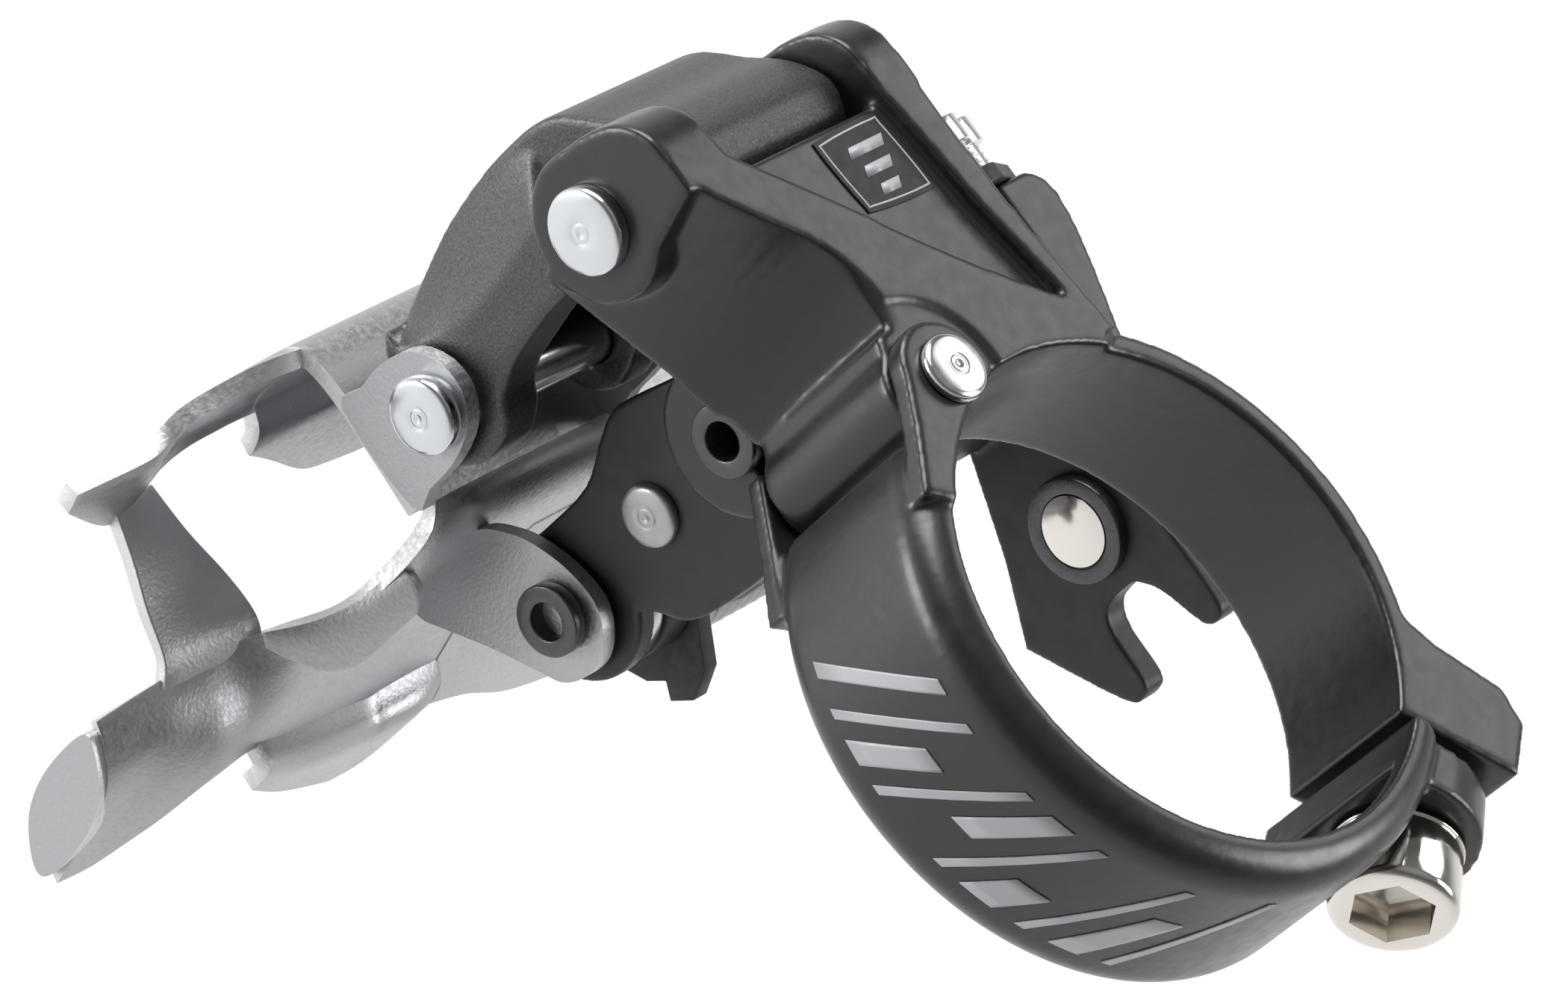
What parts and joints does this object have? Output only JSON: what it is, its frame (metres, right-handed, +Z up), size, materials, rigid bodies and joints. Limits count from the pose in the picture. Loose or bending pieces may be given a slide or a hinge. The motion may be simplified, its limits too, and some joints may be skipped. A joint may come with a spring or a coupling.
{
  "type": "front derailleur",
  "caption": "Band-clamp front derailleur for a bicycle: hinged seat-tube clamp, parallelogram links and a curved chain cage that swings outboard.",
  "frame": {"origin": "centre of the seat-tube clamp bore, at the middle of the fixed clamp half", "axes": "+Z up along the seat tube, +X bike forward, +Y to the left of the bike (chain side is -Y)"},
  "size_m": [0.1005, 0.0732, 0.09],
  "materials": {
    "black_paint": "satin black paint, light orange peel",
    "grey_cast": "bead-blasted dark grey metallic",
    "label_ink": "printed grey",
    "zinc_pin": "bright zinc",
    "dull_zinc": "dull zinc",
    "nickel": "bright nickel",
    "dark_steel": "dark steel",
    "cage_steel": "satin silver",
    "black_plastic": "matte"
  },
  "bodies": {
    "body": {"body_bracket": "black_paint", "top_label": "label_ink", "outer_link_pin": "zinc_pin", "inner_link_pin": "dark_steel", "limit_screw_plate": "black_plastic", "clamp_hinge_pin": "zinc_pin"},
    "band": {"clamp_band": "black_paint", "band_decal": "label_ink"},
    "clamp_screw": {"clamp_bolt": "nickel", "clamp_bolt_washer": "nickel"},
    "outer_link": {"outer_link": "grey_cast"},
    "inner_link": {"inner_link_plate": "black_paint", "inner_link_barrel": "dark_steel", "inner_link_stay": "dark_steel", "inner_link_rivet": "dull_zinc", "cable_arm": "black_paint", "cable_nut": "nickel", "spring_sleeve": "dark_steel", "spring_washer": "zinc_pin", "spring_collar": "black_plastic", "spring_hook": "black_plastic", "return_spring": "dark_steel"},
    "cable_screw": {"cable_bolt": "nickel", "cable_washer": "nickel"},
    "cage": {"cage_outer_plate": "cage_steel", "cage_inner_plate": "cage_steel", "cage_nose_bridge": "cage_steel", "cage_tail_spacer": "cage_steel", "cage_tail_screw": "nickel", "cage_outer_pin": "zinc_pin", "cage_inner_pin": "dark_steel"},
    "limit_low": {"limit_screw_low": "zinc_pin"},
    "limit_high": {"limit_screw_high": "zinc_pin"}
  },
  "joints": [
    {"name": "swing", "type": "hinge", "parent": "body", "child": "inner_link", "pos_m": [0, -0.0243, -0.0098], "axis": [-1, 0, 0], "range_deg": [0, 45]},
    {"name": "outer_link_swing", "type": "hinge", "parent": "body", "child": "outer_link", "pos_m": [0.003, -0.0381, -0.0016], "axis": [-1, 0, 0], "range_deg": [0, 45]},
    {"name": "cage_pivot", "type": "hinge", "parent": "inner_link", "child": "cage", "pos_m": [0, -0.0232, -0.031], "axis": [-1, 0, 0], "range_deg": [-45, 0], "deforming": ["return_spring"]},
    {"name": "band_open", "type": "hinge", "parent": "body", "child": "band", "pos_m": [0.0072, -0.0183, 0], "axis": [0, 0, -1], "range_deg": [0, 3.5]},
    {"name": "clamp_bolt_out", "type": "slide", "parent": "body", "child": "clamp_screw", "axis": [0.7885, 0.615, 0], "range_m": [0, 0.00251]},
    {"name": "cable_bolt_turn", "type": "hinge", "parent": "inner_link", "child": "cable_screw", "pos_m": [-0.022, -0.0095, -0.017], "axis": [1, 0, 0], "range_deg": [0, 360]},
    {"name": "limit_low_turn", "type": "hinge", "parent": "body", "child": "limit_low", "pos_m": [-0.0107, -0.03, 0.0026], "axis": [0, 1, 0], "range_deg": [-180, 180]},
    {"name": "limit_high_turn", "type": "hinge", "parent": "body", "child": "limit_high", "pos_m": [-0.0145, -0.03, 0.0002], "axis": [0, 1, 0], "range_deg": [-180, 180]}
  ],
  "couplings": [
    {"joint": "outer_link_swing", "follows": "swing", "ratio": 1},
    {"joint": "cage_pivot", "follows": "swing", "ratio": -1},
    {"joint": "clamp_bolt_out", "follows": "band_open", "m_per_rad": 0.04094}
  ]
}
